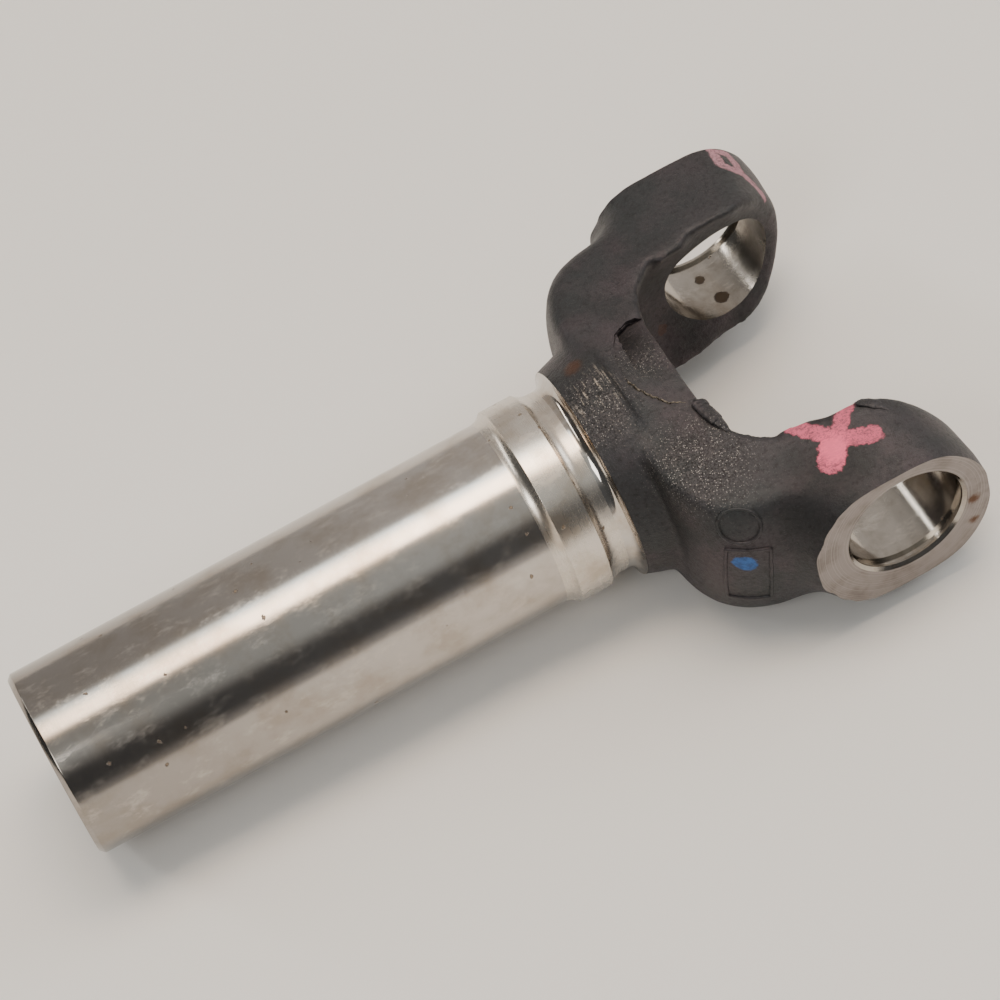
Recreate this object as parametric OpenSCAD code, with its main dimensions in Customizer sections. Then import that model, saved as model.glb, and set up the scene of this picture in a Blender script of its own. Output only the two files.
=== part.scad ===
// Slip yoke for a drive shaft: one steel forging with a ground barrel, splined inside,
// and two ears bored for a universal-joint cross. A pressed-in disc closes the spline.
// Origin: middle of the cross bore. +X runs from the barrel to the ears, +Y along the cross bore.

/* [Barrel] */
// Length of the ground barrel, from its open end to the foot of the land
barrel_len = 125.1; // [90:0.1:180]
// Diameter of the ground barrel, which the gearbox seal and bush run on
barrel_d = 47.88; // [45:0.01:50]
// Chamfer round the open end
barrel_chamfer = 1.2; // [0.4:0.1:2]

/* [Land and groove] */
// Diameter of the land between the barrel and the neck groove
land_d = 51.5; // [50.5:0.1:54]
// Width of the land along the axis
land_w = 8.4; // [5:0.1:14]
// Radius of the fillets at both sides of the land
land_fillet = 4.5; // [3:0.1:6]
// Width of the turned groove's floor, beyond the land
groove_w = 1.8; // [1:0.1:6]
// Diameter of the turned groove's floor
groove_d = 48.1; // [46:0.1:50]
// Radius of the polished fillet where the groove meets the forging
polish_r = 3.2; // [2:0.1:3.3]

/* [Neck] */
// Diameter where the machining ends and the forged skin begins
ring_d = 54.6; // [54.6:0.1:57]
// Diameter of the forged neck where it runs into the base
neck_d = 60; // [58:0.1:61]
// Length of the forged neck
neck_len = 7.9; // [5:0.1:14]
// Width of the flats that trimming left along the neck's top and bottom
neck_flat_w = 11; // [5:0.5:12]

/* [Base] */
// Thickness of the base, from the floor of the gap to the back of the shoulders
base_thick = 19.1; // [17:0.1:26]
// Lean of the base's back, which stands further back at the far side, in degrees
base_lean = 0.7; // [0:0.1:2]
// Radius of the shoulders where the base turns into the arms
shoulder_r = 20; // [12:0.5:21]
// Depth of the step that trimming left across the base's top
trim_depth = 1.6; // [0.8:0.1:2.5]

/* [Gap between the ears] */
// Depth of the gap, from the middle of the cross bore to its floor
gap_depth = 28.5; // [26:0.1:34]
// Diameter of the turned gap, level with the cross bore
gap_d = 76.4; // [74:0.1:80]
// Draft of the gap's wall, in degrees
gap_draft = 6; // [3:0.5:8]
// Radius in the corner of the gap's floor
gap_corner = 11; // [8:0.5:14]
// Radius of the forging's edges round the gap
gap_edge_r = 2; // [1:0.1:3]

/* [Ears] */
// Distance over the machined outer faces of the two ears
ear_span = 112.3; // [108:0.1:116]
// Diameter over the outside of the arms, behind the bosses
swing_d = 100.6; // [96:0.1:104]
// Diameter of each boss at its machined face
boss_d = 46.8; // [44:0.1:50]
// Draft of the ears' round ends, which draw back towards the gap, in degrees
boss_draft = 5; // [2:0.5:7]
// Draft of a boss's flank where it stands up from its arm, in degrees
flank_draft = 14; // [8:1:20]
// How far the near boss sits off its bore along the axis
near_shift_x = -0.7; // [-3:0.1:1]
// How far the near boss sits off its bore across the axis
near_shift_z = -2; // [-3:0.1:3]
// How far the far boss sits off its bore along the axis
far_shift_x = -2.2; // [-4:0.1:1]
// How far the far boss sits off its bore across the axis
far_shift_z = 1.5; // [-3:0.1:3]
// Width of the near ear across its flat sides, at its machined face
near_ear_w = 41.8; // [38:0.1:44]
// Width of the far ear across its flat sides, at its machined face
far_ear_w = 39.8; // [38:0.1:44]
// Draft of the ears' flat sides, which widen towards the middle, in degrees
ear_draft = 7.5; // [3:0.5:9]
// Radius of the fillet between a boss and its arm
boss_fillet = 9; // [5:0.5:12]
// Radius of the forging's outer edges
edge_r = 2.6; // [1.5:0.1:4]

/* [Cross bores] */
// Diameter of the bores that take the bearing caps
cap_bore_d = 30.18; // [28:0.01:32]
// Distance between the outer walls of the two snap-ring grooves
ring_span = 109.4; // [107:0.1:109.8]
// Width of a snap-ring groove
ring_groove_w = 2.1; // [1.5:0.1:2.6]
// Depth of a snap-ring groove
ring_groove_t = 1.0; // [0.6:0.1:1.6]
// Chamfer at the mouth of a cross bore
bore_chamfer = 0.8; // [0.3:0.1:1.2]

/* [Spline bore] */
// Number of spline teeth
spline_teeth = 32; // [24:1:36]
// Diameter at the roots of the internal spline
spline_root_d = 35.8; // [35.2:0.1:36.4]
// Diameter at the tips of the internal spline's teeth
spline_tip_d = 33; // [32:0.1:33.8]
// Length of the plain bore at the open mouth
mouth_len = 16; // [8:1:30]
// Diameter of the plain bores at both ends of the spline
relief_d = 37; // [36.6:0.1:38]
// Length of the spline
spline_len = 98; // [60:1:110]

/* [Expansion plug] */
// Diameter of the plug and of its seat
plug_d = 41; // [39.5:0.1:43]
// Thickness of the plug's sheet
plug_t = 2.4; // [1.6:0.1:3]
// Depth of the plug's seat below the floor of the gap
plug_depth = 6; // [5.5:0.1:7]
// Height of the plug's dome
plug_rise = 2.2; // [1:0.1:2.4]

/* [Hidden] */
round_fn = 96;
// Steps along the long and the short sides of each section, and round it
up_rays = 18;
out_rays = 9;
rays = 2 * (up_rays + out_rays);
root_steps = 14;
spare = 1;

barrel_r = barrel_d / 2;
land_r = land_d / 2;
groove_r = groove_d / 2;
ring_r = ring_d / 2;
neck_r = neck_d / 2;
swing_r = swing_d / 2;
face_y = ear_span / 2;
cap_bore_r = cap_bore_d / 2;
ring_y = ring_span / 2;
tip_r = spline_tip_d / 2;
root_r = spline_root_d / 2;
relief_r = relief_d / 2;
plug_r = plug_d / 2;

// Stations along the axis, counted from the cross bore towards the barrel
floor_x = -gap_depth;
back_x = floor_x - base_thick;
ring_x = back_x - neck_len;
groove_end_x = ring_x - polish_r;
groove_start_x = groove_end_x - groove_w;
land_end_x = groove_start_x - fillet_run(land_fillet, land_r - groove_r);
land_start_x = land_end_x - land_w;
barrel_top_x = land_start_x - fillet_run(land_fillet, land_r - barrel_r);
mouth_x = barrel_top_x - barrel_len;
spline_x = mouth_x + mouth_len;
seat_x = floor_x - plug_depth;

// The smooth joins below round an edge of radius r over about 1.17 r
blend_per_r = 1.17;
edge_blend = blend_per_r * edge_r;
gap_blend = blend_per_r * gap_edge_r;
// The ears' sides taper from a ridge of this radius along the parting plane
ridge_r = 14;
// Swell of the base's top and bottom towards the neck, and the length it takes
swell = 1.5;
swell_run = 14;
// How far the turned neck reaches into the base
neck_root = 4;
// Lean of the trimmed step's floor across the shaft, in degrees
trim_lean = 2.5;
// Corners of the trimmed step, [along, across] the shaft from the gap's floor
trim_outline = [[-5.5, 17.5], [-9, 4], [-7.5, -5], [-3, -12.5], [9, -12.5], [9, 14]];

// The clevis is swept along a U: up one arm, round a corner and across the base
arm_y = (face_y + gap_d / 2) / 2 - 1.5;
base_x = (floor_x + back_x) / 2;
corner_pivot = [-13, 19];

// Length along the axis of an arc of radius r that climbs by h
function fillet_run(r, h) = sqrt(r * r - (r - h) * (r - h));
function clamp(v, lo, hi) = min(max(v, lo), hi);
function ease(t) = t * t * (3 - 2 * t);

// Smooth union and smooth intersection of two distances, blended over k
function soft_min(a, b, k) = min(a, b) - pow(max(k - abs(a - b), 0), 2) / (4 * k);
function soft_max(a, b, k) = -soft_min(-a, -b, k);

// Distance to a corner between two walls a and b, rounded to radius r
function round_corner(a, b, r) =
    norm([max(a + r, 0), max(b + r, 0)]) - r + min(max(a + r, b + r), 0);

// The forging is widest at the middle and tapers to both machined faces
function taper(y) = face_y - norm([y, ridge_r]);

// A size that passes from the near ear's value to the far ear's across the gap
function between_ears(near, far, y) =
    near + (far - near) * ease(clamp(0.5 + y / gap_d, 0, 1));

// Half the width of the forging: the flats of the ears, and a swell towards the neck
function half_width(x, y) =
    between_ears(near_ear_w, far_ear_w, y) / 2 + taper(y) * tan(ear_draft)
    + swell * ease(clamp((back_x + swell_run - x) / swell_run, 0, 1));

// Distance to the forging's outside as turned about the shaft axis
function turned_wall(x, y, r) =
    round_corner(back_x - y * tan(base_lean) - x, r - swing_r, shoulder_r);

// How far an ear's forged outline sits off its bore
function shift(y) =
    between_ears([near_shift_x, near_shift_z], [far_shift_x, far_shift_z], y);

// Distance to a boss, round about its cross bore and wider towards its arm
function boss_wall(x, y, z) =
    norm([x, z] - shift(y)) - boss_d / 2 - (face_y - abs(y)) * tan(flank_draft);

// Distance to the ears' sides: two flats and a round end that grows with them
function side_wall(x, y, z) =
    let (
        s = shift(y),
        widen = taper(y) * tan(ear_draft),
        ahead = x - s[0] + widen + (face_y - abs(y)) * tan(boss_draft),
        end = norm([max(ahead, 0), z - s[1]]) - boss_d / 2 - widen
    )
    soft_max(abs(z - s[1]) - half_width(x, y), end, edge_blend);

// Distance into the gap, turned about the shaft axis, with draft and a round corner
function gap_wall(x, r) =
    round_corner((r - gap_d / 2 - x * tan(gap_draft)) * cos(gap_draft), floor_x - x, gap_corner);

// Distance to the whole forged clevis: negative inside the steel
function clevis_at(p) =
    let (
        r = norm([p[1], p[2]]),
        arm = turned_wall(p[0], p[1], r),
        outside = soft_min(arm, boss_wall(p[0], p[1], p[2]), boss_fillet),
        bar = soft_max(outside, side_wall(p[0], p[1], p[2]), edge_blend)
    )
    max(soft_max(bar, -gap_wall(p[0], r), gap_blend), abs(p[1]) - face_y - spare);

// Distance from p to the clevis's skin along the unit vector v, by halving
function reach(p, v, lo = 0, hi = 40, n = root_steps) =
    n == 0 ? (lo + hi) / 2
    : clevis_at(p + (lo + hi) / 2 * v) < 0
        ? reach(p, v, (lo + hi) / 2, hi, n - 1)
        : reach(p, v, lo, (lo + hi) / 2, n - 1);

// The rays of a section aim at even steps round an oblong like the arm's own section
aim_out = (face_y - gap_d / 2) / 2;
aim_up = near_ear_w / 2 + 2;
aims = concat(
    [for (i = [0 : up_rays - 1]) [aim_out, aim_up * (2 * i / up_rays - 1)]],
    [for (i = [0 : out_rays - 1]) [aim_out * (1 - 2 * i / out_rays), aim_up]],
    [for (i = [0 : up_rays - 1]) [-aim_out, aim_up * (1 - 2 * i / up_rays)]],
    [for (i = [0 : out_rays - 1]) [aim_out * (2 * i / out_rays - 1), -aim_up]]
);

// One section of the sweep: a ring of points about p, in the plane of u and +Z
function ring_at(p, u, low) = [
    for (aim = aims)
        let (q = aim[0] * u + [0, 0, low * aim[1]], v = q / norm(q))
        p + reach(p, v) * v
];

// Distance of the U's middle line from the corner's pivot, at the angle a
function sweep_r(a) =
    (arm_y - corner_pivot[1]) * (1 - a / 90) + (corner_pivot[0] - base_x) * a / 90;

// Where the arms' middle lines leave the round ends
far_tip_x = reach([0, arm_y, 0], [1, 0, 0]);
near_tip_x = reach([0, -arm_y, 0], [1, 0, 0]);

// Each station is a point on the U, the direction that points out of the gap, and how
// low the section is there against the arm's own
tip_angles = [86, 80, 74, 67, 60, 53, 46, 39, 32, 24, 16, 8, 0];
arm_steps = 12;
corner_steps = 18;
base_steps = 14;
function half_stations(tip_x) = concat(
    [for (a = tip_angles) [[tip_x * sin(a), arm_y, 0], [0, 1, 0], cos(a)]],
    [for (i = [1 : arm_steps]) [[corner_pivot[0] * i / arm_steps, arm_y, 0], [0, 1, 0], 1]],
    [
        for (i = [1 : corner_steps])
            let (a = 90 * i / corner_steps, u = [-sin(a), cos(a), 0])
            [[corner_pivot[0], corner_pivot[1], 0] + sweep_r(a) * u, u, 1]
    ]
);
base_stations = [
    for (i = [1 : base_steps - 1])
        [[base_x, corner_pivot[1] * (1 - 2 * i / base_steps), 0], [-1, 0, 0], 1]
];
near_half = half_stations(near_tip_x);
stations = concat(
    half_stations(far_tip_x),
    base_stations,
    [
        for (i = [len(near_half) - 1 : -1 : 0])
            let (s = near_half[i])
            [[s[0][0], -s[0][1], 0], [s[1][0], -s[1][1], 0], s[2]]
    ]
);

// The forged clevis: both arms with their bosses, and the base, as one swept skin
module clevis() {
    count = len(stations);
    points = concat(
        [for (s = stations) each ring_at(s[0], s[1], s[2])],
        [[far_tip_x, arm_y, 0], [near_tip_x, -arm_y, 0]]
    );
    polyhedron(
        points,
        concat(
            [
                for (s = [0 : count - 2], i = [0 : rays - 1])
                    let (
                        j = (i + 1) % rays,
                        a = s * rays,
                        b = a + rays,
                        // Each square of the skin is split along its shorter diagonal
                        rising = norm(points[a + i] - points[b + j]),
                        falling = norm(points[a + j] - points[b + i])
                    )
                    each rising < falling
                        ? [[a + i, b + j, b + i], [a + i, a + j, b + j]]
                        : [[a + i, a + j, b + i], [a + j, b + j, b + i]]
            ],
            [for (i = [0 : rays - 1]) [count * rays, (i + 1) % rays, i]],
            [
                for (i = [0 : rays - 1])
                    let (a = (count - 1) * rays)
                    [count * rays + 1, a + i, a + (i + 1) % rays]
            ]
        ),
        convexity = 6
    );
}

// Turns a profile drawn with the radius across and the shaft axis upright
module turned() {
    rotate([0, 90, 0]) rotate_extrude($fn = round_fn) children();
}

// Half of a fillet's circle, on the side that climbs away from the tangent point
module fillet_cut(r, at, upward) {
    intersection() {
        translate(at) circle(r = r, $fn = round_fn);
        translate([at[0] - r, upward ? at[1] : at[1] - r]) square([2 * r, r]);
    }
}

// The turned outside: barrel, land, groove and polished fillet, then the forged neck
module barrel_profile() {
    difference() {
        polygon([
            [0, mouth_x],
            [barrel_r - barrel_chamfer, mouth_x],
            [barrel_r, mouth_x + barrel_chamfer],
            [barrel_r, barrel_top_x],
            [land_r, barrel_top_x],
            [land_r, groove_start_x],
            [groove_r, groove_start_x],
            [groove_r, groove_end_x],
            [ring_r, groove_end_x],
            [ring_r, ring_x],
            [neck_r, back_x],
            [neck_r, back_x + neck_root],
            [relief_r, back_x + neck_root],
            [0, back_x + neck_root]
        ]);
        fillet_cut(land_fillet, [barrel_r + land_fillet, barrel_top_x], true);
        fillet_cut(land_fillet, [groove_r + land_fillet, groove_start_x], false);
        fillet_cut(polish_r, [groove_r + polish_r, groove_end_x], true);
    }
}

// What boring takes out along the shaft axis: mouth, spline with a lead-in, relief and seat
module bore_profile() {
    polygon([
        [0, mouth_x - spare],
        [relief_r + barrel_chamfer + spare, mouth_x - spare],
        [relief_r, mouth_x + barrel_chamfer],
        [relief_r, spline_x],
        [tip_r, spline_x + relief_r - tip_r],
        [tip_r, spline_x + spline_len],
        [relief_r, spline_x + spline_len],
        [relief_r, seat_x],
        [plug_r, seat_x],
        [plug_r, floor_x + spare],
        [0, floor_x + spare]
    ]);
}

// The gaps between the spline's teeth, broached from end to end of the spline
module spline_gaps() {
    pitch = 360 / spline_teeth;
    root_half = 0.19 * pitch;
    tip_half = 0.31 * pitch;
    inner_r = tip_r - spare;
    translate([spline_x - spare, 0, 0]) rotate([0, 90, 0])
        linear_extrude(spline_len + 2 * spare)
            for (i = [0 : spline_teeth - 1])
                rotate(i * pitch)
                    polygon([
                        inner_r * [cos(tip_half), -sin(tip_half)],
                        root_r * [cos(root_half), -sin(root_half)],
                        root_r * [cos(root_half), sin(root_half)],
                        inner_r * [cos(tip_half), sin(tip_half)]
                    ]);
}

// What boring takes out of one ear: bore, snap-ring groove and chamfered mouth
module cross_bore_profile() {
    polygon([
        [0, 0],
        [cap_bore_r, 0],
        [cap_bore_r, ring_y - ring_groove_w],
        [cap_bore_r + ring_groove_t, ring_y - ring_groove_w],
        [cap_bore_r + ring_groove_t, ring_y],
        [cap_bore_r, ring_y],
        [cap_bore_r, face_y - bore_chamfer],
        [cap_bore_r + bore_chamfer + spare, face_y + spare],
        [0, face_y + spare]
    ]);
}

// The step across the base's top where the flash was sheared off
module trim_step() {
    top = half_width(floor_x, 0);
    translate([floor_x, 0, top - trim_depth]) rotate([-trim_lean, 0, 0])
        linear_extrude(2 * trim_depth) polygon(trim_outline);
}

// One flat along the neck, where the flash was sheared off. It leans as a straight edge
// does that lies against the neck and the barrel's mouth.
module neck_flat() {
    flat_z = sqrt(neck_r * neck_r - neck_flat_w * neck_flat_w / 4);
    lean = atan((flat_z - barrel_r) / (back_x - mouth_x - barrel_chamfer));
    translate([back_x, -neck_r, flat_z]) rotate([0, -lean, 0])
        translate([-neck_len, 0, 0]) cube([neck_len + neck_root + spare, neck_d, spare]);
}

module yoke() {
    color("dimgray")
    difference() {
        union() {
            clevis();
            turned() barrel_profile();
        }
        for (side = [-1, 1]) {
            // The ears' outer faces are milled flat
            translate([-swing_r, side > 0 ? face_y : -face_y - 2 * spare, -swing_r])
                cube([2 * swing_r, 2 * spare, 2 * swing_r]);
            rotate([-90 * side, 0, 0]) rotate_extrude($fn = round_fn) cross_bore_profile();
            mirror([0, 0, side > 0 ? 0 : 1]) neck_flat();
        }
        turned() bore_profile();
        spline_gaps();
        trim_step();
    }
}

// A domed disc, pressed into its seat until its rim rests on the shoulder
module expansion_plug() {
    dome_r = (plug_r * plug_r + plug_rise * plug_rise) / (2 * plug_rise);
    color("silver")
    translate([seat_x, 0, 0]) turned()
        intersection() {
            difference() {
                translate([0, plug_rise + plug_t - dome_r]) circle(r = dome_r, $fn = 4 * round_fn);
                translate([0, plug_rise - dome_r]) circle(r = dome_r, $fn = 4 * round_fn);
            }
            square([plug_r, plug_rise + plug_t]);
        }
}

yoke();
expansion_plug();
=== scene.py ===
"""A drive shaft's slip yoke: a forged fork on a ground and splined barrel, in a studio."""

import math

import bmesh
import bpy
from mathutils import Matrix, Vector, noise
from mathutils.bvhtree import BVHTree


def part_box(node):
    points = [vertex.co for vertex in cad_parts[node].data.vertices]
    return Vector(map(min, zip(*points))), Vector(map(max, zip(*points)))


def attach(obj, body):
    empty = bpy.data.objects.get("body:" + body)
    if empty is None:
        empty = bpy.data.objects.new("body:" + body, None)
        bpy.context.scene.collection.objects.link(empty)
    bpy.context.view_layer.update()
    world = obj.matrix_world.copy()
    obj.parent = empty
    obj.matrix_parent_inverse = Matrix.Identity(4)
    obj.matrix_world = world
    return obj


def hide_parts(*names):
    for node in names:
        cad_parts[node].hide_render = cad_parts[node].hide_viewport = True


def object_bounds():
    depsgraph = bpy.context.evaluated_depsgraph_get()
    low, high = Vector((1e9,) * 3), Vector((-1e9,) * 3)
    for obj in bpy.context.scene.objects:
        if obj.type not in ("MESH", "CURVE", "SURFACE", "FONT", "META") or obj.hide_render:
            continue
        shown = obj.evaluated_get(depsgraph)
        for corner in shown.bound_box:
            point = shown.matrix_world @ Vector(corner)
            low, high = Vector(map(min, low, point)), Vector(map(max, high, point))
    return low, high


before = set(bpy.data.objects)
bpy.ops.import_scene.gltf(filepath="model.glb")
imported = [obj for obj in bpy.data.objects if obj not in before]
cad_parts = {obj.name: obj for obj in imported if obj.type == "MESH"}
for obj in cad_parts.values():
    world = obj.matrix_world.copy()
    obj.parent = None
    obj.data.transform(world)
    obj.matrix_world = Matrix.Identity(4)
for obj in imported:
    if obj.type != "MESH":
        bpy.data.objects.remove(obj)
cad_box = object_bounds()

MM = 0.001

# The solid's own sizes in millimetres: +X runs from the barrel to the ears, +Y along the
# cross bore, and the origin is the middle of the cross bore
MOUTH_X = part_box("yoke")[0][0] / MM
FACE_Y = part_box("yoke")[1][1] / MM
BARREL_R = 23.94
LAND_R = 25.75
GROOVE_R = 24.05
RING_R = 27.3
RELIEF_R = 18.5
CHAMFER = 1.2
LAND_FILLET = 4.5
POLISH_R = 3.2
BARREL_TOP_X = -76.03
LAND_START_X = -72.42
LAND_END_X = -64.02
GROOVE_START_X = -60.5
GROOVE_END_X = -58.7
RING_X = -55.5
BACK_X = -47.6
FLOOR_X = -28.5
SEAT_X = -34.5
SEAT_R = 20.5
GAP_R = 38.2
GAP_DRAFT = math.radians(6)
CAP_BORE_R = 15.09
RING_GROOVE_R = 16.09
RING_GROOVE_Y = (52.6, 54.7)
BORE_CHAMFER = 0.8
SPLINE_TEETH = 32
SPLINE_TIP_R = 16.5
SPLINE_ROOT_R = 17.9
SPLINE_X = MOUTH_X + 16
SPLINE_LEN = 98
# The forging's drafts and offsets, from which the height of its top follows
NECK_R = 30
NEAR_EAR_W = 41.8
FAR_EAR_W = 39.8
NEAR_SHIFT_Z = -2
FAR_SHIFT_Z = 1.5
EAR_DRAFT = math.radians(7.5)
RIDGE_R = 14
SWELL = 1.5
SWELL_RUN = 14
# Half the width of the flats along the neck, and how they lean towards the mouth
NECK_FLAT_HALF = 5.5
NECK_FLAT_Z = math.sqrt(NECK_R**2 - NECK_FLAT_HALF**2)
NECK_FLAT_LEAN = (NECK_FLAT_Z - BARREL_R) / (BACK_X - MOUTH_X - CHAMFER)
# The recess that trimming left on the base's top: its ragged edge, the pocket in it, and
# the height of its floor
TRIM_EDGE = (
    (-31.8, 15.8),
    (-36.2, 14.1),
    (-38.1, 10.9),
    (-40.3, 5.1),
    (-40.2, 0.5),
    (-39.1, -3.6),
    (-37.6, -6.7),
    (-34.7, -10.8),
    (-31.0, -12.6),
)
TRIM_POCKET = ((-31.8, 15.6), (-35.9, 14.0), (-36.6, 8.1), (-37.2, 2.5), (-33.5, -5.0))
TRIM_Z = 23.75
# Without a seed, noise_vector gives another shape in each run
NOISE_SEED = 3


# Shader sums


class Wire:
    """An output of a shader node. A sum of values makes the Math nodes that it needs."""

    def __init__(self, paint, socket):
        self.paint = paint
        self.socket = socket

    def maths(self, operation, *others):
        return self.paint.node("Math", {"operation": operation}, dict(enumerate((self, *others))))

    def after(self, operation, first):
        return self.paint.node("Math", {"operation": operation}, {0: first, 1: self})

    def __add__(self, other):
        return self.maths("ADD", other)

    def __radd__(self, other):
        return self.maths("ADD", other)

    def __sub__(self, other):
        return self.maths("SUBTRACT", other)

    def __rsub__(self, other):
        return self.after("SUBTRACT", other)

    def __mul__(self, other):
        return self.maths("MULTIPLY", other)

    def __rmul__(self, other):
        return self.maths("MULTIPLY", other)

    def __truediv__(self, other):
        return self.maths("DIVIDE", other)

    def over(self, other):
        """The greater of the two values."""
        return self.maths("MAXIMUM", other)


class Paint:
    """A material or a sky in the making, with the patterns that the finishes share."""

    def __init__(self, name, store="materials", place="Object"):
        self.made = getattr(bpy.data, store).new(name)
        self.made.use_nodes = True
        self.tree = self.made.node_tree
        self.tree.nodes.clear()
        self.place = self.node("TexCoord", out=place)

    def node(self, kind, settings={}, sockets={}, out=0):
        made = self.tree.nodes.new("ShaderNode" + kind)
        for name, value in settings.items():
            setattr(made, name, value)
        for key, value in sockets.items():
            if isinstance(value, Wire):
                self.tree.links.new(value.socket, made.inputs[key])
            else:
                made.inputs[key].default_value = value
        return made.outputs and Wire(self, made.outputs[out])

    def vector(self, operation, *values, out=0):
        return self.node("VectorMath", {"operation": operation}, dict(enumerate(values)), out)

    def along(self, axis):
        """The place along X, Y or Z, in the scene's own units."""
        return self.node("SeparateXYZ", {}, {0: self.place}, out=axis)

    def scaled(self, scale):
        """The place with each axis scaled, to draw a pattern out."""
        return self.vector("MULTIPLY", self.place, scale)

    def cloud(self, size, detail=3.0, roughness=0.55, where=None):
        """Noise with features of about the given size in millimetres."""
        return self.node(
            "TexNoise",
            {},
            {
                "Vector": where or self.place,
                "Scale": 1 / (size * MM),
                "Detail": detail,
                "Roughness": roughness,
            },
        )

    def rise(self, value, low, high):
        """0 below low, 1 above high and smooth between them."""
        return self.node(
            "MapRange",
            {"interpolation_type": "SMOOTHSTEP"},
            {"Value": value, "From Min": low, "From Max": high},
        )

    def span(self, value, low, high, soft):
        """1 between low and high, with soft ends."""
        return self.rise(value, low - soft, low + soft) * (
            1 - self.rise(value, high - soft, high + soft)
        )

    def ragged(self, away, width, rag, soft=0.35, size=1.5):
        """1 where a distance in millimetres is under width, with a ragged rim."""
        away = away + (self.cloud(size, 4.0, 0.65) - 0.5) * (4 * rag)
        return 1 - self.rise(away, width - soft, width + soft)

    def spot(self, centre, radius, rag=0.0, soft=0.35):
        """1 within a radius of a point."""
        away = self.vector("DISTANCE", self.place, Vector(centre) * MM, out="Value") / MM
        return self.ragged(away, radius, rag, soft)

    def stroke(self, start, end, width, rag):
        """1 along a brush stroke from start to end."""
        start, end = Vector(start) * MM, Vector(end) * MM
        run = end - start
        offset = self.vector("SUBTRACT", self.place, start)
        share = self.vector("DOT_PRODUCT", offset, run, out="Value") / run.length_squared
        share = self.node("Clamp", {}, {0: share})
        foot = self.node("VectorMath", {"operation": "SCALE"}, {0: run, "Scale": share})
        away = self.vector("DISTANCE", offset, foot, out="Value") / MM
        return self.ragged(away, width / 2, rag)

    def flecks(self, size, share, radius):
        """1 in small round flecks, in a share of cells of the given size in millimetres."""
        sockets = {"Vector": self.place, "Scale": 1 / (size * MM)}
        bent = self.cloud(size * 0.15, 2.0)
        away = self.node("TexVoronoi", {}, sockets, out="Distance") + (bent - 0.5) * 0.25
        lot = self.node("SeparateColor", {}, {0: self.node("TexVoronoi", {}, sockets, out="Color")})
        radius = radius / size
        return (1 - self.rise(away, radius * 0.7, radius)) * self.rise(
            lot, 1 - share, 1 - share + 0.01
        )

    def mix(self, factor, first, second):
        """One colour passing into another."""
        return self.node("Mix", {"data_type": "RGBA"}, {0: factor, 6: first, 7: second}, out=2)

    def bump(self, height, depth, under=None):
        """A relief that is depth millimetres high where height is 1."""
        sockets = {"Height": height, "Distance": depth * MM, "Strength": 1.0}
        if under:
            sockets["Normal"] = under
        return self.node("Bump", {}, sockets)

    def finish(self, color, roughness, metallic, normal=None):
        """Closes the material."""
        sockets = {"Base Color": color, "Roughness": roughness, "Metallic": metallic}
        if normal:
            sockets["Normal"] = normal
        shader = self.node("BsdfPrincipled", {}, sockets)
        self.node("OutputMaterial", {}, {"Surface": shader})
        return self.made


def shade(red, green, blue):
    """A colour as it is seen on the screen, from 0 to 255, in the shader's own scale."""
    return (*(((c / 255 + 0.055) / 1.055) ** 2.4 for c in (red, green, blue)), 1)


# Finishes


def worn_steel(name, lines_at, roughness, tones, chips, depth, browned=None, mouth_shade=0.0, pits=(), shade_patches=()):
    """Cut and ground steel: fine tool lines, faint stains and small rusty chips.

    lines_at gives the three scales that draw the tool lines out, tones are the clean and
    the stained colour, chips is how many cells of the surface have one, and depth is the
    tool lines' depth in millimetres. The steel is browned beyond the place browned on X,
    dulled says how much painted shade darkens it towards the barrel's mouth, and pits and
    grime are the centre and radius of each rusted pit and of each patch of painted shade.
    """
    paint = Paint(name)
    lines = paint.cloud(1.0, 4.0, 0.7, paint.scaled(lines_at))
    stain = paint.cloud(11.0, 6.0, 0.6)
    smear = paint.cloud(3.0, 5.0, 0.7)
    color = paint.mix(paint.rise(stain, 0.4, 0.72), tones[0], tones[1])
    # Painted shade: the steel darkens towards the barrel's mouth
    if mouth_shade:
        towards_mouth = 1 - paint.rise(paint.along(0) / MM, MOUTH_X, BARREL_TOP_X)
        color = paint.mix(towards_mouth * mouth_shade, color, shade(96, 90, 84))
    color = paint.mix(paint.rise(smear, 0.58, 0.75) * 0.35, color, tones[1])
    wisp = paint.rise(paint.cloud(5.0, 6.0, 0.75, paint.scaled((0.6, 1.3, 1.0))), 0.5, 0.68)
    color = paint.mix(wisp * 0.3, color, shade(222, 214, 204))
    if browned:
        # The forging isn't quite true to the axis, so its skin reaches further at the near side
        near = paint.vector("DOT_PRODUCT", paint.place, (0, -0.8, -0.6), out="Value") / MM
        edge = paint.along(0) / MM + (smear - 0.5) * 2 + paint.rise(near, 10, RING_R) * 1.4
        color = paint.mix(paint.rise(edge, browned, browned + 2) * 0.5, color, shade(134, 116, 100))
        color = paint.mix(paint.rise(edge, RING_X + 0.2, RING_X + 1.4), color, shade(74, 69, 66))
    chip = paint.flecks(6.0, chips, 0.28)
    rim = paint.flecks(6.0, chips, 0.5)
    color = paint.mix(rim * 0.75, color, shade(86, 68, 54))
    color = paint.mix(chip * 0.7, color, shade(168, 152, 132))
    dent = rim
    for centre, radius in pits:
        pit = paint.spot(centre, radius, 0.5, 0.2)
        color = paint.mix(pit * 0.9, color, shade(84, 70, 56))
        dent = dent.over(pit)
    # Painted shade: dark patches on the bore's wall
    for centre, radius in shade_patches:
        shade_patch = paint.spot(centre, radius, 0.8, radius * 0.6)
        color = paint.mix(shade_patch * 0.85, color, shade(56, 53, 49))
        dent = dent.over(shade_patch * 0.6)
    rough = roughness + (lines - 0.5) * 0.14 + (stain - 0.5) * 0.16 + dent * 0.3 + wisp * 0.08
    return paint.finish(color, rough, 1.0, paint.bump(lines * depth - dent * 0.15, 1.0))


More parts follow.
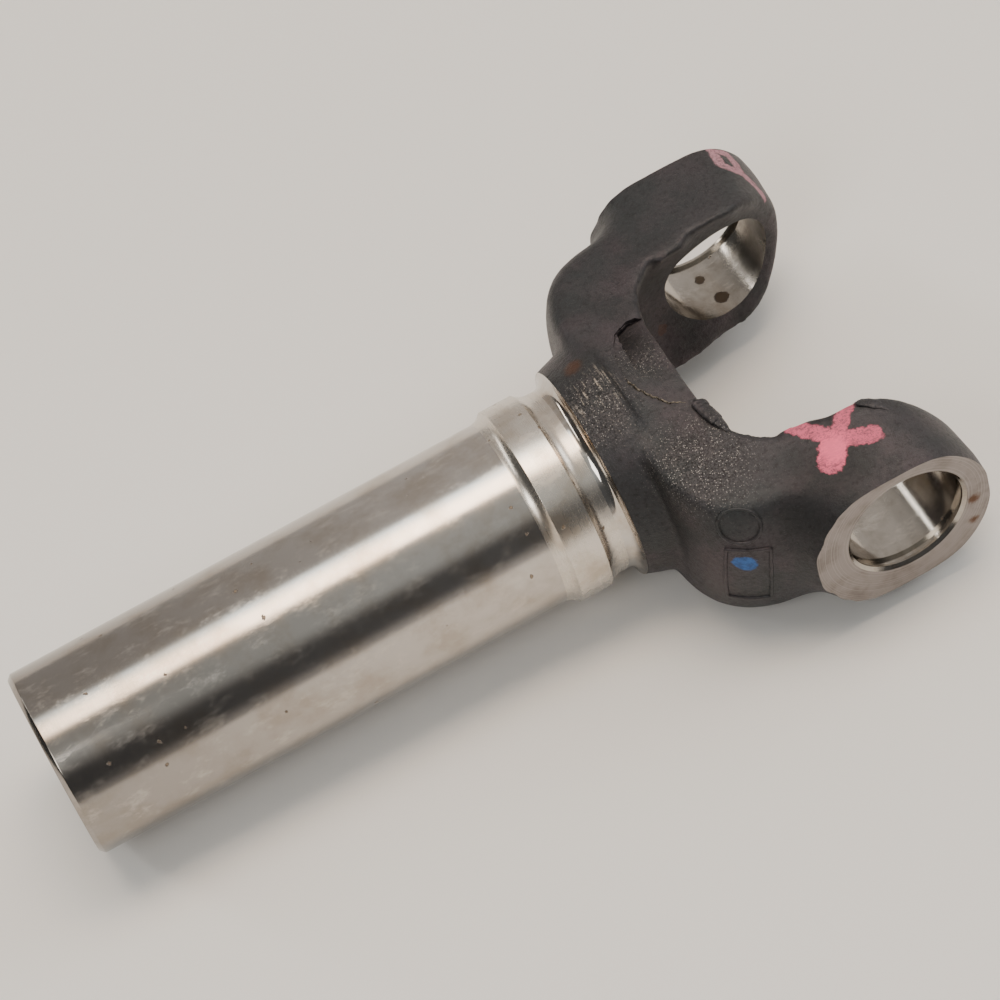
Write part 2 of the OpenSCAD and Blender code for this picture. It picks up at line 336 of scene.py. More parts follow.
def ground_steel():
    """The barrel, ground and then handled."""
    tones = (shade(196, 190, 184), shade(178, 168, 157))
    return worn_steel("ground steel", (5.0, 0.1, 0.1), 0.16, tones, 0.7, 0.004, mouth_shade=0.5)


def turned_steel():
    """The land and the groove, turned a little coarser than the barrel is ground."""
    tones = (shade(216, 209, 200), shade(190, 177, 162))
    return worn_steel("turned steel", (3.5, 0.08, 0.08), 0.27, tones, 0.8, 0.008)


def polished_steel():
    """The fillet below the forging, burnished almost to a mirror."""
    tones = (shade(204, 200, 195), shade(172, 154, 134))
    return worn_steel("polished steel", (4.0, 0.1, 0.1), 0.1, tones, 0.5, 0.003, -56.4)


def bored_steel():
    """The bores' walls, with the boring tool's rings about the cross bore."""
    tones = (shade(178, 172, 164), shade(142, 132, 120))
    pits = (((-1.9, 48.2, -15.0), 1.3), ((0.1, 40.1, -15.1), 1.8))
    # Painted shade on the far bore's wall
    shade_patches = (((11.5, 43.5, -10), 6.8), ((14.5, 46, 0), 8))
    return worn_steel(
        "bored steel", (0.1, 4.0, 0.1), 0.15, tones, 0.5, 0.012, pits=pits, shade_patches=shade_patches
    )


def forging_skin():
    """The dark skin left by forging and blasting: mottled, grainy and marked with paint."""
    paint = Paint("forging skin")
    mottle = paint.cloud(16.0, 5.0, 0.6)
    cast = paint.cloud(28.0, 3.0, 0.5)
    fine = paint.cloud(1.2, 5.0, 0.7)
    grain = paint.cloud(0.5, 3.0, 0.7)
    grit = paint.flecks(0.42, 0.3, 0.16)
    tone = paint.mix(paint.rise(mottle, 0.38, 0.62), shade(62, 62, 64), shade(76, 70, 74))
    tone = paint.mix(paint.rise(cast, 0.45, 0.6) * 0.5, tone, shade(62, 66, 68))
    tone = paint.mix(paint.rise(fine, 0.45, 0.75) * 0.6, tone, shade(42, 41, 42))
    # Bright grains where blasting bit into the neck and the near shoulder, with painted glints on them
    bitten_and_glinting = paint.spot((-51, -4, 28), 9, 1.2, 4).over(paint.spot((-37, -29, 24), 11, 1.5, 6))
    bitten_and_glinting = bitten_and_glinting.over(paint.spot((-50, 14, -24), 14, 1.5, 6))
    bitten_and_glinting = bitten_and_glinting.over(paint.spot((-33.5, 5, TRIM_Z), 6, 1.0, 4) * 0.6)
    sparkle = grit * (bitten_and_glinting * 0.85 + 0.06)
    tone = paint.mix(bitten_and_glinting * paint.rise(0.48 - grain, 0.0, 0.08) * 0.7, tone, shade(36, 35, 35))
    tone = paint.mix(bitten_and_glinting * paint.rise(grain, 0.5, 0.66) * 0.4, tone, shade(112, 107, 103))
    tone = paint.mix(sparkle, tone, shade(160, 156, 152))
    # Scraped lines on the neck, and a touch of rust
    scrape = paint.cloud(1.0, 2.0, 0.6, paint.scaled((1.6, 0.16, 0.16)))
    scrape = paint.rise(scrape, 0.55, 0.66) * paint.spot((-48.5, 0, 29), 6, 1.0, 3)
    tone = paint.mix(scrape * paint.rise(grain, 0.4, 0.55) * 0.8, tone, shade(178, 168, 156))
    rust = paint.spot((-49.5, 9.5, 27.8), 2.2, 0.6, 1.2).over(paint.flecks(17.0, 0.12, 1.6) * 0.5)
    tone = paint.mix(rust * 0.6, tone, shade(96, 62, 42))
    # Painted shade in the valley between the near shoulder and its boss
    hollow_shade = paint.spot((-14, -46, 11), 11, 0.6, 9)
    tone = paint.mix(hollow_shade * 0.8, tone, shade(34, 34, 35))
    # Painted shadow in the trimmed recess, darkest in the pocket's far corner
    sunk = 1 - paint.rise(paint.along(2) / MM, TRIM_Z + 0.1, TRIM_Z + 0.8)
    scale = paint.spot((-34.5, 11.5, TRIM_Z), 4.5, 0.5, 5.5) * sunk
    tone = paint.mix(scale * 0.9, tone, shade(26, 25, 25))
    # The checker's crayon: a cross on the near arm and a loop on the far ear's end
    cross = (
        ((-7.4, -39.6, 20.7), (-13.8, -31.6, 21.5), 4.2),
        ((-7.0, -40.0, 20.6), (1.3, -31.6, 21.2), 3.8),
        ((-7.0, -40.4, 20.6), (0.9, -43.6, 20.2), 4.4),
        ((-8.0, -40.8, 20.5), (-11.0, -44.6, 20.1), 6.4),
    )
    loop = (
        ((11.9, 55.2, 19.3), (11.4, 49.2, 20.2), 2.8),
        ((11.4, 49.2, 20.2), (14.0, 46.6, 18.2), 2.6),
        ((15.2, 54.5, 16.4), (15.3, 46.1, 16.8), 2.8),
        ((15.3, 46.1, 16.8), (17.4, 39.9, 12.6), 3.0),
        ((12.4, 54.8, 18.8), (15.2, 54.0, 16.4), 2.4),
    )
    crayon = paint.stroke(*cross[0], 0.7)
    for mark in cross[1:]:
        crayon = crayon.over(paint.stroke(*mark, 0.7))
    faint = paint.stroke(*loop[0], 0.4)
    for mark in loop[1:]:
        faint = faint.over(paint.stroke(*mark, 0.6))
    # The crayon is thick at the cross's foot and dry along its arms
    thick = paint.spot((-8.6, -42.0, 20.4), 4.2, 0.8, 2.2)
    dry = paint.cloud(1.5, 4.0, 0.75, paint.scaled((0.6, 1.6, 1)))
    cover = (1 - paint.rise(grain, 0.53, 0.64) * 0.7) * (1 - paint.rise(dry, 0.48, 0.66) * 0.6)
    cover = cover.over(thick * 0.92)
    pink = paint.mix(thick, shade(216, 100, 128), shade(255, 112, 146))
    tone = paint.mix(crayon * cover, tone, pink)
    tone = paint.mix(faint * cover * 0.75, tone, shade(196, 140, 154))
    dab = paint.stroke((-38.6, -46.5, 3.6), (-37.7, -47.1, 3.2), 4.8, 0.6)
    blue = paint.mix(paint.rise(fine, 0.4, 0.6), shade(44, 100, 172), shade(36, 78, 134))
    tone = paint.mix(dab * 0.92, tone, blue)
    painted = crayon.over(faint).over(dab)
    rough = 0.48 + (fine - 0.5) * 0.3 - sparkle * 0.15 + painted * 0.2
    metal = 0.8 - painted * 0.8
    normal = paint.bump(fine * 0.2 + grain * (0.12 + bitten_and_glinting * 0.1), 1.0)
    return paint.finish(tone, rough, metal, normal)


def machined_face():
    """The ears' outer faces, with rings left by the tool about the bore."""
    paint = Paint("machined face")
    away = paint.vector("LENGTH", paint.scaled((1, 0, 1)), out="Value") / MM
    rings = paint.node(
        "TexNoise", {"noise_dimensions": "1D"}, {"W": away, "Scale": 2.6, "Detail": 4.0}
    )
    stain = paint.cloud(7.0, 5.0, 0.6)
    color = paint.mix(paint.rise(stain, 0.4, 0.7), shade(146, 139, 136), shade(122, 114, 110))
    color = paint.mix(paint.rise(rings, 0.5, 0.62) * 0.45, color, shade(172, 167, 164))
    rust = paint.flecks(8.0, 0.12, 0.7)
    rust = rust.over(paint.spot((17.3, -FACE_Y, -4.6), 1.4, 0.6, 0.8))
    rust = rust.over(paint.spot((16.3, -FACE_Y, -12.5), 1.2, 0.6, 0.8))
    color = paint.mix(rust * 0.8, color, shade(112, 78, 54))
    rough = 0.42 + (rings - 0.5) * 0.4 + rust * 0.3
    return paint.finish(color, rough, 1.0, paint.bump(rings, 0.05))


def sheared_steel():
    """The torn rim of the flash, brighter than the skin about it."""
    paint = Paint("sheared steel")
    fine = paint.cloud(0.6, 4.0, 0.7)
    color = paint.mix(paint.rise(fine, 0.42, 0.6), shade(58, 55, 53), shade(150, 140, 126))
    return paint.finish(color, 0.45 + (fine - 0.5) * 0.3, 0.8, paint.bump(fine, 0.12))


def pressed_steel():
    """The closing disc's plain sheet."""
    paint = Paint("pressed steel")
    stain = paint.cloud(6.0, 5.0, 0.6)
    color = paint.mix(paint.rise(stain, 0.4, 0.7), shade(160, 155, 148), shade(128, 119, 108))
    return paint.finish(color, 0.36 + (stain - 0.5) * 0.2, 1.0, paint.bump(stain, 0.02))


# Shapes


def shown(name, mesh, *finishes):
    """A finished piece of the object, which stands for the solid yoke."""
    piece = bpy.data.objects.new(name, mesh)
    bpy.context.scene.collection.objects.link(piece)
    for finish in finishes:
        mesh.materials.append(finish)
    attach(piece, "root")
    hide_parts("yoke")


def as_mesh(name, shape, sharp=35.0):
    """A mesh of the shape, smooth but for edges sharper than the angle."""
    mesh = bpy.data.meshes.new(name)
    shape.to_mesh(mesh)
    shape.free()
    mesh.shade_smooth()
    mesh.set_sharp_from_angle(angle=math.radians(sharp))
    return mesh


def arc(x, r, radius, start, end, steps=10):
    """Corners along an arc about (x, r), its angles in degrees."""
    angles = (math.radians(start + (end - start) * i / steps) for i in range(steps + 1))
    return [(x + radius * math.cos(a), r + radius * math.sin(a), 0) for a in angles]


def rounded(corners, steps=3):
    """An outline through (x, r, radius) corners, each rounded to its radius."""
    outline = []
    for i, (x, r, radius) in enumerate(corners):
        here = Vector((x, r))
        if not radius:
            outline.append(here)
            continue
        back = (Vector(corners[i - 1][:2]) - here).normalized()
        on = (Vector(corners[(i + 1) % len(corners)][:2]) - here).normalized()
        half = back.angle(on) / 2
        centre = here + (back + on).normalized() * radius / math.sin(half)
        first = (here + back * radius / math.tan(half) - centre).normalized()
        last = (here + on * radius / math.tan(half) - centre).normalized()
        outline += [
            centre + first.slerp(last, step / steps).normalized() * radius
            for step in range(steps + 1)
        ]
    return outline


def turned(outline, axis="X", steps=192):
    """A closed outline of (along, out) points in millimetres, turned about an axis."""
    shape = bmesh.new()
    verts = [shape.verts.new((along * MM, out * MM, 0)) for along, out in outline]
    edges = [shape.edges.new((verts[i - 1], verts[i])) for i in range(len(verts))]
    bmesh.ops.spin(
        shape,
        geom=verts + edges,
        cent=(0, 0, 0),
        axis=(1, 0, 0),
        angle=2 * math.pi,
        steps=steps,
        use_merge=True,
    )
    if axis == "Y":
        bmesh.ops.rotate(shape, verts=shape.verts, matrix=Matrix.Rotation(math.pi / 2, 3, "Z"))
    bmesh.ops.recalc_face_normals(shape, faces=shape.faces)
    return shape


def paint_faces(mesh, choose):
    """Gives each face the finish that choose(centre in millimetres, normal) names."""
    for face in mesh.polygons:
        face.material_index = choose(face.center / MM, face.normal)


def barrel():
    """The ground barrel, the land, the groove and the polished fillet."""
    climb = math.degrees(math.asin((BARREL_R + LAND_FILLET - LAND_R) / LAND_FILLET))
    fall = math.degrees(math.asin((GROOVE_R + LAND_FILLET - LAND_R) / LAND_FILLET))
    corners = [
        (MOUTH_X, RELIEF_R + CHAMFER, 0.15),
        (MOUTH_X, BARREL_R - CHAMFER, 0.2),
        (MOUTH_X + CHAMFER, BARREL_R, 0.4),
        *arc(BARREL_TOP_X, BARREL_R + LAND_FILLET, LAND_FILLET, -90, -climb - 2),
        (LAND_START_X, LAND_R, 0.12),
        (LAND_END_X, LAND_R, 0.12),
        *arc(GROOVE_START_X, GROOVE_R + LAND_FILLET, LAND_FILLET, fall - 178, -90),
        *arc(GROOVE_END_X, GROOVE_R + POLISH_R, POLISH_R, -90, -1, 16),
        (RING_X + 0.5, RING_R - 1, 0),
        (RING_X + 0.5, RELIEF_R, 0),
        (MOUTH_X + CHAMFER, RELIEF_R, 0.2),
    ]
    mesh = as_mesh("barrel", turned(rounded(corners)))
    paint_faces(
        mesh,
        lambda at, normal: 2 if at.x > GROOVE_END_X - 0.5 else int(at.x > BARREL_TOP_X + 0.6),
    )
    shown("barrel", mesh, ground_steel(), turned_steel(), polished_steel())


def spline():
    """The internal spline: a sleeve inside the barrel whose bore has the teeth."""
    flank_r = (SPLINE_ROOT_R + SPLINE_TIP_R) / 2
    tooth = (SPLINE_ROOT_R,) * 3 + (flank_r,) + (SPLINE_TIP_R,) * 3 + (flank_r,)
    count = SPLINE_TEETH * len(tooth)
    shape = bmesh.new()

    def loop(x, radii):
        made = bmesh.ops.create_circle(shape, segments=count, radius=1)["verts"]
        for i, vert in enumerate(made):
            a = 2 * math.pi * i / count
            r = radii[i % len(radii)] * MM
            vert.co = (x * MM, r * math.cos(a), r * math.sin(a))
        return list({edge for vert in made for edge in vert.link_edges})

    outer = (RELIEF_R + 0.4,)
    inner = (RELIEF_R - 0.02,)
    end_x = SPLINE_X + SPLINE_LEN
    loops = [
        loop(SPLINE_X, outer),
        loop(SPLINE_X, inner),
        loop(SPLINE_X + 1.6, tooth),
        loop(end_x - 0.6, tooth),
        loop(end_x, inner),
        loop(end_x, outer),
    ]
    for i, edges in enumerate(loops):
        bmesh.ops.bridge_loops(shape, edges=loops[i - 1] + edges)
    bmesh.ops.recalc_face_normals(shape, faces=shape.faces)
    shown("spline", as_mesh("spline", shape, 25), turned_steel())


def filler(radius, start, end, axis):
    """A plain cylinder that fills a bore before the forging is remeshed."""
    shape = bmesh.new()
    turn = Matrix.Rotation(math.pi / 2, 4, "Y" if axis == "X" else "X")
    middle = Vector((1, 0, 0) if axis == "X" else (0, 1, 0)) * (start + end) / 2 * MM
    bmesh.ops.create_cone(
        shape,
        cap_ends=True,
        cap_tris=True,
        segments=96,
        radius1=radius * MM,
        radius2=radius * MM,
        depth=abs(end - start) * MM,
        matrix=Matrix.Translation(middle) @ turn,
    )
    return shape


def ear_filler(side):
    """Fills one ear's bore: its inner end follows the wall of the gap."""
    stand_out = 3.5
    shape = filler(CAP_BORE_R + 1.4, side * GAP_R, side * (FACE_Y + stand_out), "Y")
    for vert in shape.verts:
        x, y, z = vert.co / MM
        if abs(y) < GAP_R + 1:
            wall_r = GAP_R + x * math.tan(GAP_DRAFT)
            vert.co.y = side * (math.sqrt(wall_r**2 - z**2) + 0.3) * MM
    return shape


def ease(share):
    share = min(max(share, 0), 1)
    return share * share * (3 - 2 * share)


def top_at(x, y):
    """Height of the forging's top over the base, as the solid has it."""
    far = ease(0.5 + y / (2 * GAP_R))
    half_width = (NEAR_EAR_W + (FAR_EAR_W - NEAR_EAR_W) * far) / 2
    drafted = (FACE_Y - math.hypot(y, RIDGE_R)) * math.tan(EAR_DRAFT)
    shift = NEAR_SHIFT_Z + (FAR_SHIFT_Z - NEAR_SHIFT_Z) * far
    return shift + half_width + drafted + SWELL * ease((BACK_X + SWELL_RUN - x) / SWELL_RUN)


def trim_floor(x, y):
    """The recess's floor: a shelf just under the top along the edge, level at the gap."""
    return top_at(x, y) - 0.45 + (TRIM_Z - top_at(x, y) + 0.45) * ease((x + 34) / 5)


def prism(corners, low, high, jitter=0.0):
    """A block over corners (x, y), from height low(x, y) to high(x, y).

    Its sides are broken into short steps, which jitter moves about a little.
    """
    outline = []
    for i, corner in enumerate(corners):
        start, end = Vector(corner), Vector(corners[(i + 1) % len(corners)])
        steps = max(2, round((end - start).length / 0.8))
        for step in range(steps):
            at = start.lerp(end, step / steps)
            shake = noise.noise_vector((at.x * 0.9, at.y * 0.9, 3)) * jitter
            outline.append(at + Vector(shake[:2]))
    shape = bmesh.new()
    ends = []
    for height in (low, high):
        verts = [shape.verts.new((x * MM, y * MM, height(x, y) * MM)) for x, y in outline]
        ends.append(verts)
        shape.faces.new(verts)
    for i in range(len(outline)):
        shape.faces.new((ends[0][i - 1], ends[0][i], ends[1][i], ends[1][i - 1]))
    bmesh.ops.triangulate(shape, faces=shape.faces)
    bmesh.ops.recalc_face_normals(shape, faces=shape.faces)
    return shape


def joined(name, *shapes):
    """One object from several shapes, which are freed."""
    mesh = bpy.data.meshes.new(name)
    whole = bmesh.new()
    for shape in shapes:
        shape.to_mesh(mesh)
        shape.free()
        whole.from_mesh(mesh)
    whole.to_mesh(mesh)
    whole.free()
    made = bpy.data.objects.new(name, mesh)
    bpy.context.scene.collection.objects.link(made)
    return made


def worked(piece, kind, **settings):
    """The mesh of a working object after one modifier; the object is then dropped."""
    modifier = piece.modifiers.new(kind, kind)
    for name, value in settings.items():
        setattr(modifier, name, value)
    graph = bpy.context.evaluated_depsgraph_get()
    mesh = bpy.data.meshes.new_from_object(piece.evaluated_get(graph))
    bpy.data.objects.remove(piece)
    return mesh


def forged_blank():
    """The forging before it is bored, faced and trimmed, as a fine and even mesh."""
    solid = bmesh.new()
    solid.from_mesh(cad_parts["yoke"].data)
    bmesh.ops.remove_doubles(solid, verts=solid.verts, dist=0.002 * MM)
    for side in (-1, 1):
        face = [
            f for f in solid.faces if all(v.co.y * side > (FACE_Y - 0.01) * MM for v in f.verts)
        ]
        out = bmesh.ops.extrude_face_region(solid, geom=face)["geom"]
        bmesh.ops.translate(
            solid,
            verts=[g for g in out if isinstance(g, bmesh.types.BMVert)],
            vec=(0, side * 3 * MM, 0),
        )
    over_step = ((-34, 17.5), (-37.5, 4), (-36, -5), (-31.5, -12.5), (-29.5, -12.5), (-29.5, 16.4))
    blank = joined(
        "blank",
        solid,
        ear_filler(-1),
        ear_filler(1),
        filler(RELIEF_R + 3, RING_X - 8, FLOOR_X, "X"),
        filler(RING_R, RING_X - 8, RING_X + 0.3, "X"),
        prism(over_step, lambda x, y: 20, top_at),
    )
    mesh = worked(
        blank, "REMESH", mode="VOXEL", voxel_size=0.7 * MM
    )
    shape = bmesh.new()
    shape.from_mesh(mesh)
    inside = [v for v in shape.verts if v.co.x < (RING_X - 4) * MM]
    bmesh.ops.delete(shape, geom=inside, context="VERTS")
    return shape


def smoothed(shape, verts, times):
    for _ in range(times):
        bmesh.ops.smooth_vert(
            shape, verts=verts, factor=0.5, use_axis_x=True, use_axis_y=True, use_axis_z=True
        )


def cut_flat(shape, point, normal):
    """Cuts the shape at a plane, drops the side that the normal points to and closes it."""
    bmesh.ops.bisect_plane(
        shape,
        geom=shape.verts[:] + shape.edges[:] + shape.faces[:],
        plane_co=Vector(point) * MM,
        plane_no=normal,
        clear_outer=True,
    )
    rim = [edge for edge in shape.edges if edge.is_boundary]
    bmesh.ops.edgeloop_fill(shape, edges=rim)


def forging():
    """The forged fork: faced, bored, grooved and trimmed."""
    shape = forged_blank()
    smoothed(shape, shape.verts[:], 10)
    crease = [
        v
        for v in shape.verts
        if abs(v.co.x / MM - BACK_X) < 4 and 22 < v.co.yz.length / MM < 42
    ]
    smoothed(shape, crease, 10)
    shape.normal_update()
    for vert in shape.verts:
        x, y, z = vert.co / MM
        r = math.hypot(y, z)
        if x < BACK_X - 1.5 and r > RING_R - 3:
            # The neck starts level with the machined ring's edge
            cone = RING_R + (NECK_R - RING_R) * max(x - RING_X, 0) / (BACK_X - RING_X)
            vert.co.yz *= (cone + 0.1 + 0.12 * noise.noise(vert.co / (3 * MM))) / r
        else:
            wave = noise.noise(vert.co / (14 * MM)) * 0.16 + noise.noise(vert.co / (4 * MM)) * 0.06
            vert.co += vert.normal * wave * MM
        if r > RING_R and x < BACK_X + 8:
            # The flats along the neck's top and bottom
            flat_z = (NECK_FLAT_Z + NECK_FLAT_LEAN * (x - BACK_X)) * MM
            vert.co.z = min(max(vert.co.z, -flat_z), flat_z)
    cut_flat(shape, (RING_X, 0, 0), (-1, 0, 0))
    cut_flat(shape, (0, FACE_Y, 0), (0, 1, 0))
    cut_flat(shape, (0, -FACE_Y, 0), (0, -1, 0))
    bore = [
        (20, 0),
        (20, CAP_BORE_R),
        (RING_GROOVE_Y[0], CAP_BORE_R),
        (RING_GROOVE_Y[0], RING_GROOVE_R),
        (RING_GROOVE_Y[1], RING_GROOVE_R),
        (RING_GROOVE_Y[1], CAP_BORE_R),
        (FACE_Y - BORE_CHAMFER, CAP_BORE_R),
        (FACE_Y + 1, CAP_BORE_R + BORE_CHAMFER + 1),
        (FACE_Y + 1, 0),
    ]
    seat = [
        (RING_X - 5, 0),
        (RING_X - 5, RELIEF_R),
        (SEAT_X, RELIEF_R),
        (SEAT_X, SEAT_R),
        (FLOOR_X + 6, SEAT_R),
        (FLOOR_X + 6, 0),
    ]
    tools = joined(
        "tools",
        turned(bore, "Y", 128),
        turned([(-along, out) for along, out in bore], "Y", 128),
        turned(seat, "X", 128),
        prism((*TRIM_EDGE, (-19.5, -13), (-19.5, 15)), trim_floor, lambda x, y: 40, 0.5),
    )
    pocket = joined(
        "pocket",
        prism(
            (*TRIM_POCKET, (-19.5, -5), (-19.5, 15)), lambda x, y: TRIM_Z, lambda x, y: 40, 0.4
        ),
    )
    blank = joined("bored", shape)
    for tool in (tools, pocket):
        before = len(blank.data.polygons)
        mesh = worked(blank, "BOOLEAN", operation="DIFFERENCE", solver="MANIFOLD", object=tool)
        bpy.data.objects.remove(tool)
        if len(mesh.polygons) < before / 2 or len(mesh.polygons) == before:
            raise RuntimeError("the forging wasn't cut as it should be")
        blank = bpy.data.objects.new("bored", mesh)
        bpy.context.scene.collection.objects.link(blank)
    bpy.data.objects.remove(blank)
    mesh.name = "forging"
    mesh.materials.clear()
    mesh.shade_smooth()
    mesh.set_sharp_from_angle(angle=math.radians(38))

    def finish_at(at, normal):
        if abs(at.y) > FACE_Y - 0.05:
            return 1
        r = math.hypot(at.x, at.z)
        if r < RING_GROOVE_R + 0.1 and (
            (normal.x * at.x + normal.z * at.z) / r < -0.7 or abs(at.y) > RING_GROOVE_Y[0] - 0.1
        ):
            return 2
        return 2 if math.hypot(at.y, at.z) < SEAT_R + 0.1 and at.x < FLOOR_X - 0.6 else 0

    paint_faces(mesh, finish_at)
    skin = forging_skin()
    tree = BVHTree.FromPolygons([v.co for v in mesh.vertices], [p.vertices for p in mesh.polygons])
    shown("forging", mesh, skin, machined_face(), bored_steel())
    stamps(tree, skin)
    flash(tree, skin)


def bead(tree, points, width_at, closed=True):
    """A half-sunk bead through points on the forging's skin.

    width_at(i) gives the bead's half width and its height at a point, in millimetres.
    """
    shape = bmesh.new()
    rings = []
    last = len(points) - 1
    outs = [tree.find_nearest(point)[1] for point in points]
    for i, point in enumerate(points):
        out = sum(outs[max(i - 5, 0) : i + 6], Vector((0, 0, 0))).normalized()
        on = points[(i + 1) % len(points)] if closed or i < last else point
        back = points[i - 1] if closed or i else point
        side = out.cross((on - back).normalized())
        width, height = width_at(i)
        turns = (2 * math.pi * k / 10 for k in range(10))
        rings.append(
            [
                shape.verts.new(
                    point + (side * math.cos(a) * width + out * math.sin(a) * height) * MM
                )
                for a in turns
            ]
        )
    for i in range(0 if closed else 1, len(rings)):
        for k in range(10):
            shape.faces.new(
                (rings[i - 1][k - 1], rings[i - 1][k], rings[i][k], rings[i][k - 1])
            )
    if not closed:
        for ring in (rings[0], rings[-1]):
            shape.faces.new(ring)
    bmesh.ops.recalc_face_normals(shape, faces=shape.faces)
    return shape


def torn_bead(tree, corners, width, height, fade, ragged, count=90):
    """A bead of flash along corners (x, y) on the forging's top.

    It rises to its width and height in millimetres over the share fade of its length at
    its start, and falls off towards its end. ragged is how unevenly it was torn.
    """
    line = [Vector((x, y, top_at(x, y))) for x, y in corners]
    points = []
    for i in range(count + 1):
        along = i / count * (len(line) - 1)
        k = min(int(along), len(line) - 2)
        at = line[k].lerp(line[k + 1], along - k)
        at += noise.noise_vector(at * 0.9) * 0.4 * ragged
        points.append(tree.find_nearest(at * MM)[0])

    def torn(i):
        share = i / count
        ends = min(share / fade, 1) * min((1 - share) / 0.35, 1)
        rough = noise.noise((i * 0.31, width, 0)) * 0.5 + noise.noise((i * 0.93, 9, 0)) * 0.35
        return width * (0.2 + 0.8 * ends), height * max(1 + rough * ragged, 0.25) * ends + 0.03

    return bead(tree, points, torn, False)


def flash(tree, skin):
    """What is left of the flash: the recess's torn rim, and ridges along the near arm."""
    rim = [(x - 0.4, y - 0.25) for x, y in TRIM_EDGE[4:]]
    mesh = as_mesh("flash_edge", torn_bead(tree, rim, 0.28, 0.4, 0.1, 1), 40)
    shown("flash_edge", mesh, sheared_steel())
    ridges = joined(
        "ridges",
        torn_bead(tree, ((-28.9, -13.2), (-28.2, -18), (-26.6, -25)), 2.4, 1.2, 0.12, 0.12),
        torn_bead(tree, ((1.2, -33), (4.2, -35.2), (8, -39.5)), 1.5, 0.45, 0.3, 0.3),
    )
    mesh = ridges.data
    mesh.name = "flash_ridges"
    bpy.data.objects.remove(ridges)
    mesh.shade_smooth()
    shown("flash_ridges", mesh, skin)


def stamps(tree, skin):
    """The plain ring and frame that stand up from the near shoulder, left by the die."""

    def on_skin(point):
        place, out = tree.find_nearest(point)[:2]
        return place - out * 0.1 * MM

    def even(i):
        return 0.5, 0.6

    middle = Vector((-36.7, -45.2, 15.6)) * MM
    out = tree.find_nearest(middle)[1]
    side = out.cross((0, 0, 1)).normalized()
    up = side.cross(out)
    circle = [
        on_skin(middle + (side * math.cos(a) + up * math.sin(a)) * 5.2 * MM)
        for a in (math.radians(5 * k) for k in range(72))
    ]
    corners = [
        Vector(c) * MM
        for c in ((-40.8, -44, 8.5), (-31.8, -49.2, 7.6), (-34, -47.3, -12.5), (-42.4, -41, -12.8))
    ]
    frame_line = [
        on_skin(corners[i].lerp(corners[(i + 1) % 4], k / 24)) for i in range(4) for k in range(24)
    ]
    marks = joined("marks", bead(tree, circle, even), bead(tree, frame_line, even))
    mesh = marks.data
    bpy.data.objects.remove(marks)
    mesh.shade_smooth()
    shown("die_marks", mesh, skin)


# The studio


def camera():
    """The photograph's viewpoint: where the camera stands and its three directions."""
    right = Vector((0.873232, -0.442316, -0.204507))
    down = Vector((-0.473655, -0.671776, -0.569533))
    forward = Vector((0.11453, 0.5942, -0.796121))
    lens = bpy.data.cameras.new("camera")
    lens.lens = 137.89
    lens.sensor_width = 36
    lens.clip_start = 0.01
    view = bpy.data.objects.new("camera", lens)
    turn = Matrix((right, -down, -forward)).transposed().to_4x4()
    view.matrix_world = Matrix.Translation((-0.18297, -0.54133, 0.73342)) @ turn
    bpy.context.scene.collection.objects.link(view)
    bpy.context.scene.camera = view


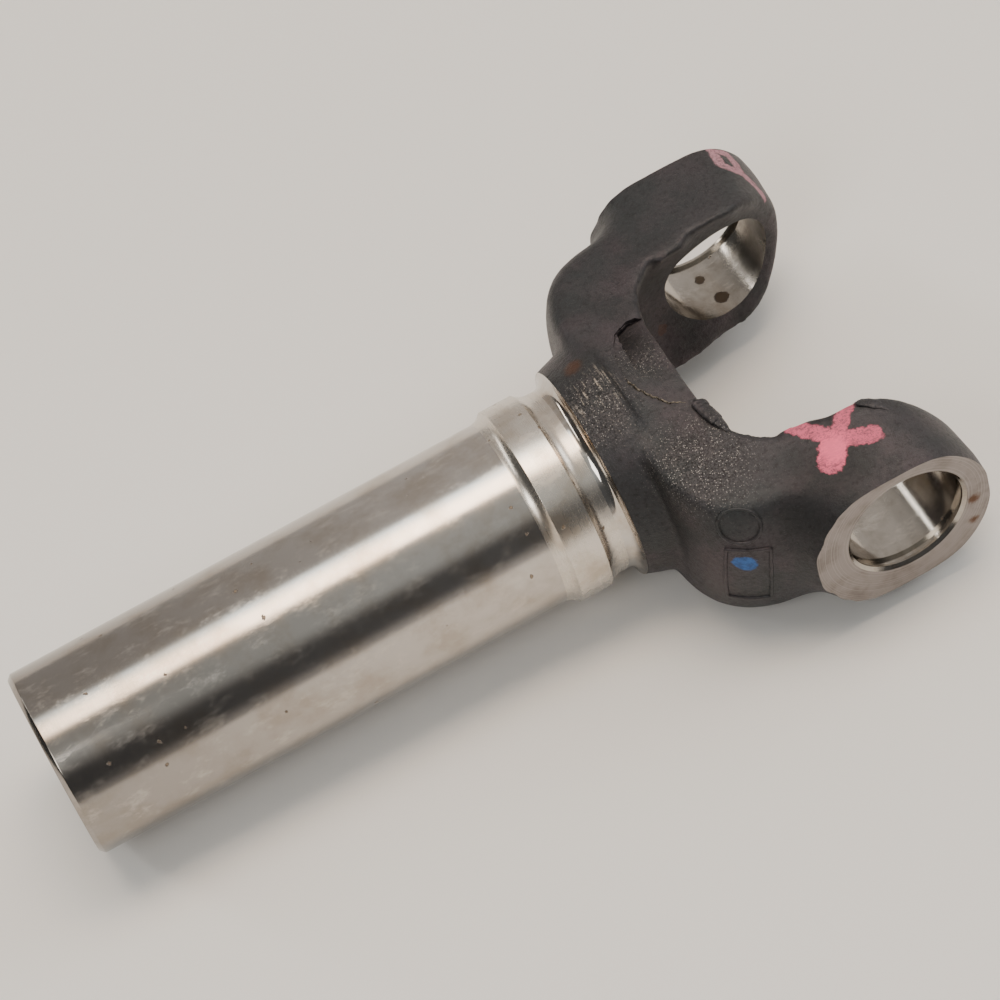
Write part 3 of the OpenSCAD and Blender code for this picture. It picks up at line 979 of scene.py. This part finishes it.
def sky():
    """A long soft light overhead and a dark side that the steel mirrors as bands."""
    paint = Paint("studio", "worlds", "Generated")
    # How far a direction is turned from straight up towards the near side, in degrees
    turn = (paint.along(1) * -1).maths("ARCTAN2", paint.along(2)) * math.degrees(1)
    along = paint.along(0)
    light = paint.mix(paint.rise(along, -0.08, 0.16), (0.50, 0.47, 0.44, 1), (0.66, 0.62, 0.58, 1))
    strip = paint.span(turn, -20, 5, 3.5) * paint.span(along, -0.2, 0.4, 0.12)
    # Between the strip and the dark side the light is cooler, and so is the strip's far rim
    light = paint.mix(paint.span(turn, 8, 50, 8) * 0.6, light, (0.50, 0.54, 0.53, 1))
    strip_light = paint.mix(
        paint.rise(turn, -18, -6), (3.6, 3.9, 3.9, 1), (10.4, 8.4, 6.5, 1)
    )
    light = paint.mix(strip, light, strip_light)
    light = paint.mix(paint.span(turn, 48, 84, 10), light, (0.10, 0.10, 0.10, 1))
    # The room is dark beyond the barrel's end, but for a narrow window behind the part
    light = paint.mix(1 - paint.rise(along, -0.62, -0.3), light, (0.08, 0.08, 0.08, 1))
    window = paint.span(along, -0.60, -0.53, 0.015) * paint.span(turn, -75, -10, 6)
    light = paint.mix(window, light, (7.0, 6.8, 6.4, 1))
    shader = paint.node("Background", {}, {"Color": light, "Strength": 1.0})
    paint.node("OutputWorld", {}, {"Surface": shader})
    bpy.context.scene.world = paint.made


def panel(name, place, target, width, height, power, color=(1, 1, 1)):
    """A soft light panel that faces a point."""
    light = bpy.data.lights.new(name, "AREA")
    light.shape = "RECTANGLE"
    light.size, light.size_y = width, height
    light.energy = power
    light.color = color
    lamp = bpy.data.objects.new(name, light)
    lamp.location = place
    lamp.rotation_euler = (Vector(target) - Vector(place)).to_track_quat("-Z", "Y").to_euler()
    bpy.context.scene.collection.objects.link(lamp)


def floor():
    """A plain pale floor under the part."""
    shape = bmesh.new()
    bmesh.ops.create_grid(shape, x_segments=1, y_segments=1, size=3)
    bmesh.ops.translate(shape, verts=shape.verts, vec=(0, 0, cad_box[0][2]))
    mesh = bpy.data.meshes.new("floor")
    shape.to_mesh(mesh)
    shape.free()
    ground = bpy.data.objects.new("floor", mesh)
    bpy.context.scene.collection.objects.link(ground)
    mesh.materials.append(Paint("floor").finish(shade(240, 239, 237), 0.8, 0.0))


noise.seed_set(NOISE_SEED)
barrel()
spline()
forging()
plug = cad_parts["expansion_plug"]
plug.data.materials.clear()
plug.data.materials.append(pressed_steel())
camera()
sky()
floor()
panel("window", (-0.7, -0.6, 0.9), (-0.08, 0, 0), 0.5, 0.5, 4, (1, 0.97, 0.92))
panel("right_lamp", (1.5, 0.1, 1.2), (-0.08, 0, 0), 0.8, 0.8, 6, (1, 0.98, 0.95))
